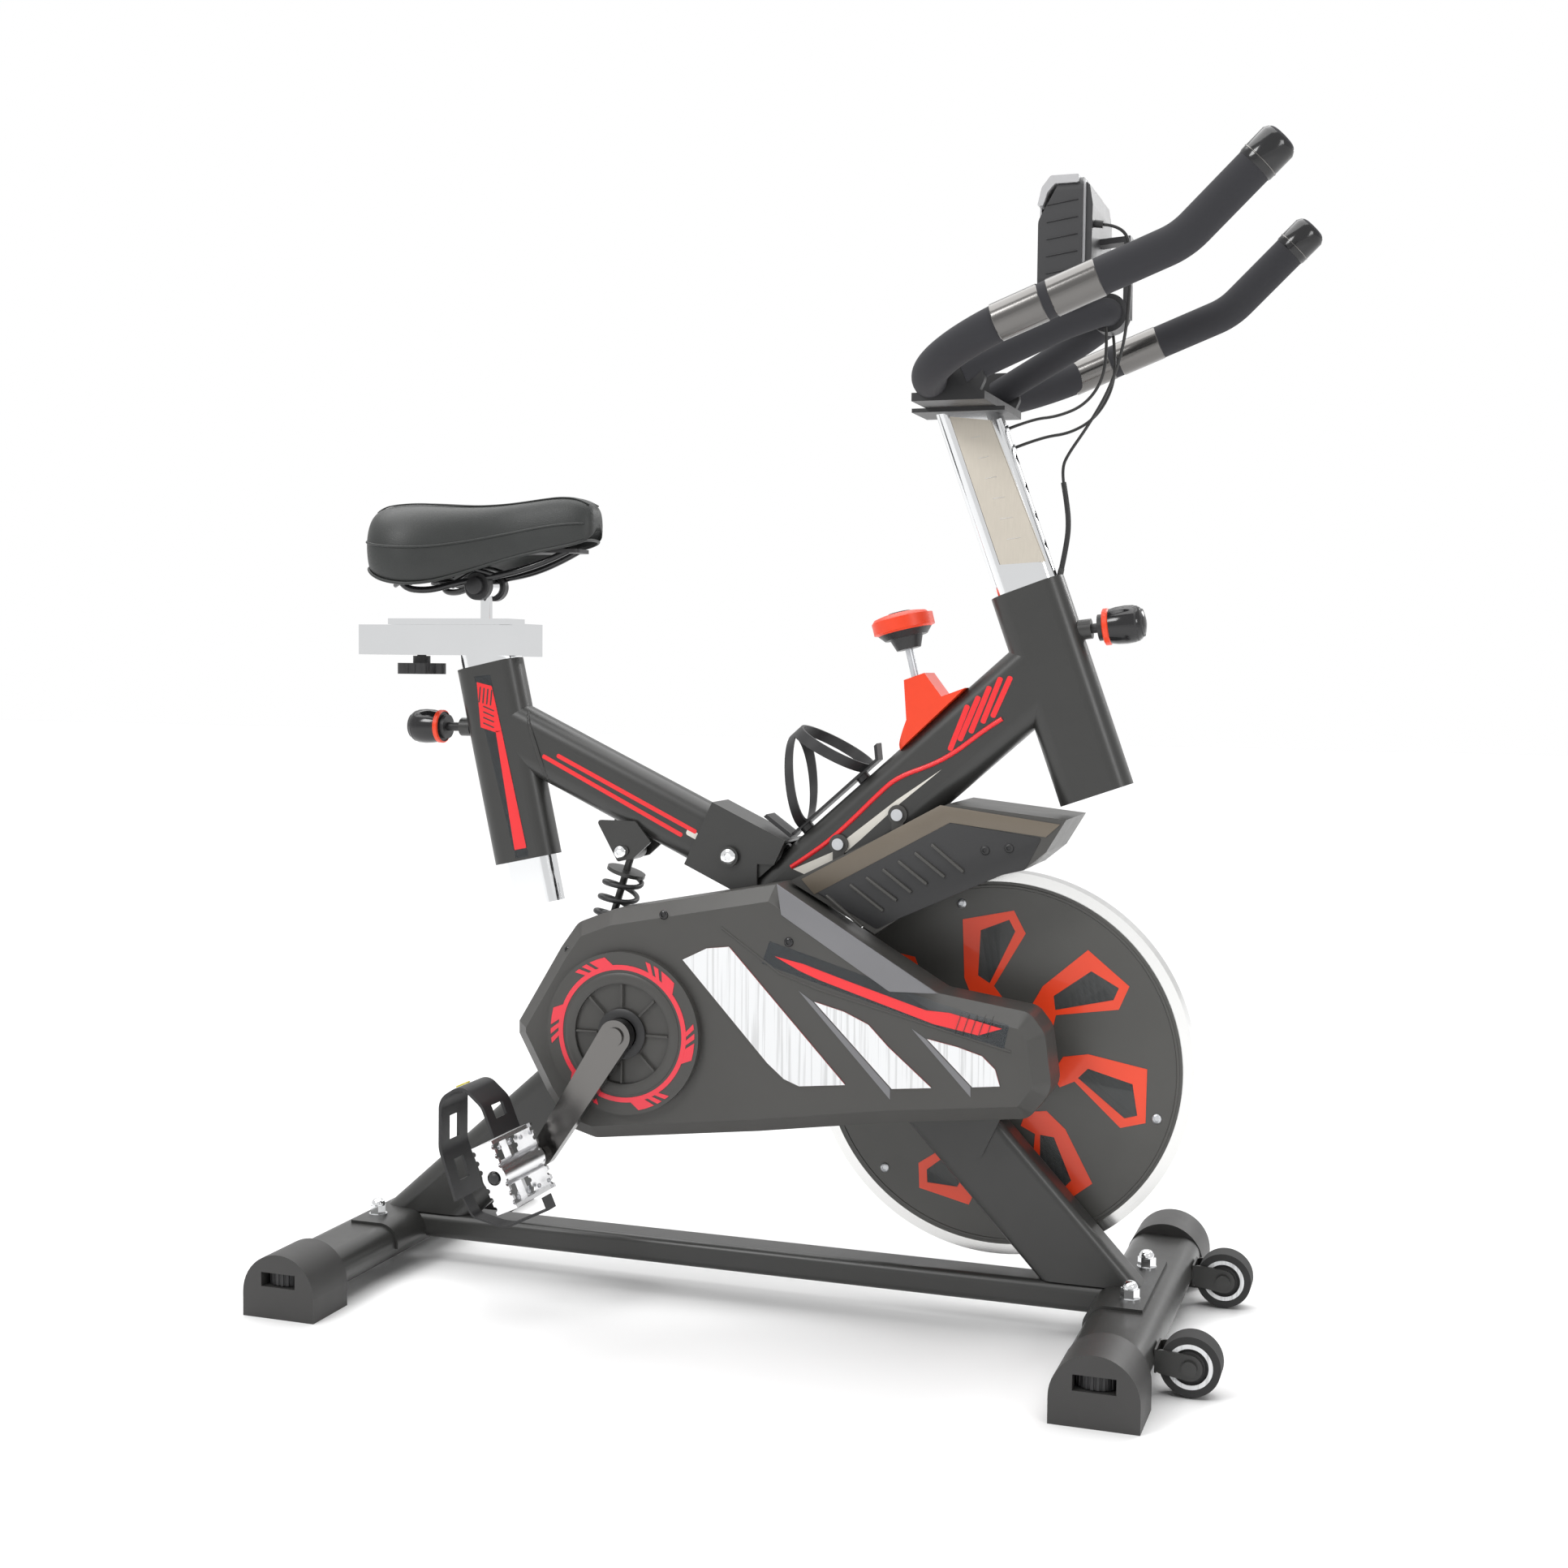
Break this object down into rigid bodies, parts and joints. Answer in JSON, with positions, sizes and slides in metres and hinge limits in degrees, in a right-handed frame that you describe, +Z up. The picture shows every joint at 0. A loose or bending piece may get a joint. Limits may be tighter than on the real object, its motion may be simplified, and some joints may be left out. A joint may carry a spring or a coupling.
{
  "type": "exercise bike",
  "caption": "Upright indoor cycling bike with flywheel, belt drive, sprung adjustable saddle, padded handlebar, monitor and toe-clip pedals.",
  "frame": {"origin": "on the floor, under the middle of the bounding box", "axes": "+X forward, +Y to the rider's left, +Z up"},
  "size_m": [1.0078, 0.5, 1.131],
  "materials": {
    "frame_paint": "satin dark charcoal powder coat",
    "cap_plastic": "moulded, fine texture",
    "cover_plastic": "satin moulded shell",
    "black_plastic": "moulded, semi-matt",
    "red_plastic": "orange-red moulded cowl",
    "chrome": "bright chrome plate",
    "zinc_steel": "zinc-plated steel",
    "crank_steel": "plated crank",
    "alloy": "cast alloy pedal cage",
    "flywheel_iron": "turned and polished rim",
    "flywheel_disc": "charcoal disc with orange-red shapes",
    "belt_rubber": "ribbed belt",
    "wheel_rubber": "hard rubber wheel",
    "grip_foam": "dense foam sleeve",
    "saddle_cover": "black grained synthetic leather",
    "monitor_plastic": "dark grey case, pale back",
    "cord_black": "black cable jacket"
  },
  "bodies": {
    "root": {"stabilisers": "frame_paint", "end_caps": "cap_plastic", "acorn_bolts": "chrome", "lower_rail": "frame_paint", "main_tube": "frame_paint", "bottom_bracket": "frame_paint", "bearings": "zinc_steel", "flywheel_leg": "frame_paint", "flywheel_bracket": "frame_paint", "head_tube": "frame_paint", "pivot_yoke": "frame_paint", "shock_mount": "frame_paint", "knob_boot": "red_plastic", "belt_cover_outer": "cover_plastic", "belt_cover_inner": "cover_plastic", "brake_guard": "cover_plastic", "bottle_cage": "black_plastic", "screws": "zinc_steel", "wheel_brackets": "frame_paint", "drive_belt": "belt_rubber", "lead_sleeve": "cord_black"},
    "flywheel_wheel": {"flywheel": "flywheel_iron", "flywheel_cover": "flywheel_disc", "flywheel_axle": "zinc_steel"},
    "cranks": {"crank_axle": "zinc_steel", "crank_arms": "crank_steel"},
    "right_pedal": {"pedal_right": "alloy", "toe_clip_right": "black_plastic"},
    "left_pedal": {"pedal_left": "alloy", "toe_clip_left": "black_plastic"},
    "brake": {"brake_rod": "chrome"},
    "brake_knob": {"resistance_knob": "red_plastic"},
    "seat_frame": {"seat_frame_tube": "frame_paint", "seat_tube": "frame_paint", "shock_rod": "frame_paint", "shock_spring": "zinc_steel"},
    "rear_pin": {"rear_pull_pin": "black_plastic"},
    "front_pin": {"front_pull_pin": "black_plastic"},
    "seat_column": {"seat_post": "chrome", "slider_rail": "chrome"},
    "carriage": {"saddle_carriage": "chrome"},
    "clamp_knob": {"slider_knob": "black_plastic"},
    "saddle": {"saddle_frame": "chrome", "saddle_cushion": "saddle_cover"},
    "handlebar_column": {"handlebar_post": "chrome", "handlebar_clamp": "black_plastic", "handlebar": "grip_foam", "inner_bar": "grip_foam", "monitor_case": "monitor_plastic", "jack_plug": "cord_black", "sensor_lead": "cord_black", "pulse_wire_right": "cord_black", "pulse_wire_left": "cord_black"},
    "button": {"monitor_button": "monitor_plastic"},
    "right_wheel": {"transport_wheel_right": "wheel_rubber"},
    "left_wheel": {"transport_wheel_left": "wheel_rubber"},
    "foot_rear_right": {"levelling_foot_rear_right": "black_plastic"},
    "foot_rear_left": {"levelling_foot_rear_left": "black_plastic"},
    "foot_front_right": {"levelling_foot_front_right": "black_plastic"},
    "foot_front_left": {"levelling_foot_front_left": "black_plastic"}
  },
  "joints": [
    {"name": "flywheel_spin", "type": "hinge", "parent": "root", "child": "flywheel_wheel", "pos_m": [0.21456, 0, 0.2605], "axis": [0, 1, 0], "continuous": true},
    {"name": "crank_spin", "type": "hinge", "parent": "root", "child": "cranks", "pos_m": [-0.15144, 0, 0.287], "axis": [0, 1, 0], "continuous": true},
    {"name": "right_pedal_spin", "type": "hinge", "parent": "cranks", "child": "right_pedal", "pos_m": [-0.23334, -0.176, 0.15895], "axis": [0, 1, 0], "continuous": true},
    {"name": "left_pedal_spin", "type": "hinge", "parent": "cranks", "child": "left_pedal", "pos_m": [-0.06955, 0.176, 0.41505], "axis": [0, 1, 0], "continuous": true},
    {"name": "brake_push", "type": "slide", "parent": "root", "child": "brake", "axis": [0.2419, 0, -0.9703], "range_m": [0, 0.003], "stiffness_N_per_m": 2000, "springref_m": -0.004},
    {"name": "resistance_turn", "type": "hinge", "parent": "brake", "child": "brake_knob", "pos_m": [0.12686, 0, 0.6601], "axis": [-0.2419, 0, 0.9703], "range_deg": [-720, 720]},
    {"name": "seat_suspension", "type": "hinge", "parent": "root", "child": "seat_frame", "pos_m": [-0.06214, 0, 0.4667], "axis": [0, 1, 0], "range_deg": [-2, 0], "stiffness_Nm_per_rad": 3000, "springref_deg": 0.5, "deforming": ["shock_spring"]},
    {"name": "rear_pin_pull", "type": "slide", "parent": "seat_frame", "child": "rear_pin", "axis": [-1, 0, 0], "range_m": [0, 0.01], "stiffness_N_per_m": 600, "springref_m": -0.008},
    {"name": "front_pin_pull", "type": "slide", "parent": "root", "child": "front_pin", "axis": [0.9925, 0, 0.1219], "range_m": [0, 0.01], "stiffness_N_per_m": 600, "springref_m": -0.008},
    {"name": "seat_height", "type": "slide", "parent": "seat_frame", "child": "seat_column", "axis": [-0.2164, 0, 0.9763], "range_m": [0, 0.15]},
    {"name": "saddle_fore_aft", "type": "slide", "parent": "seat_column", "child": "carriage", "axis": [1, 0, 0], "range_m": [-0.05, 0.015]},
    {"name": "clamp_knob_turn", "type": "hinge", "parent": "carriage", "child": "clamp_knob", "pos_m": [-0.43644, 0, 0.66], "axis": [0, 0, 1], "range_deg": [-360, 360]},
    {"name": "saddle_tilt", "type": "hinge", "parent": "carriage", "child": "saddle", "pos_m": [-0.35674, 0, 0.748], "axis": [0, 1, 0], "range_deg": [-8, 8]},
    {"name": "handlebar_height", "type": "slide", "parent": "root", "child": "handlebar_column", "axis": [-0.3379, 0, 0.9412], "range_m": [-0.09, 0.03], "deforming": ["lead_sleeve", "sensor_lead"]},
    {"name": "button_press", "type": "slide", "parent": "handlebar_column", "child": "button", "axis": [1, 0, 0], "range_m": [0, 0.001], "stiffness_N_per_m": 500, "springref_m": -0.001},
    {"name": "right_wheel_spin", "type": "hinge", "parent": "root", "child": "right_wheel", "pos_m": [0.43586, -0.1355, 0.03], "axis": [0, 1, 0], "continuous": true},
    {"name": "left_wheel_spin", "type": "hinge", "parent": "root", "child": "left_wheel", "pos_m": [0.43586, 0.1355, 0.03], "axis": [0, 1, 0], "continuous": true},
    {"name": "foot_rear_right_turn", "type": "hinge", "parent": "root", "child": "foot_rear_right", "pos_m": [-0.46094, -0.226, 0.02], "axis": [0, 0, 1], "range_deg": [-360, 360]},
    {"name": "foot_rear_left_turn", "type": "hinge", "parent": "root", "child": "foot_rear_left", "pos_m": [-0.46094, 0.226, 0.02], "axis": [0, 0, 1], "range_deg": [-360, 360]},
    {"name": "foot_front_right_turn", "type": "hinge", "parent": "root", "child": "foot_front_right", "pos_m": [0.36606, -0.226, 0.02], "axis": [0, 0, 1], "range_deg": [-360, 360]},
    {"name": "foot_front_left_turn", "type": "hinge", "parent": "root", "child": "foot_front_left", "pos_m": [0.36606, 0.226, 0.02], "axis": [0, 0, 1], "range_deg": [-360, 360]}
  ],
  "couplings": [
    {"joint": "crank_spin", "follows": "flywheel_spin", "ratio": 0.29474}
  ]
}
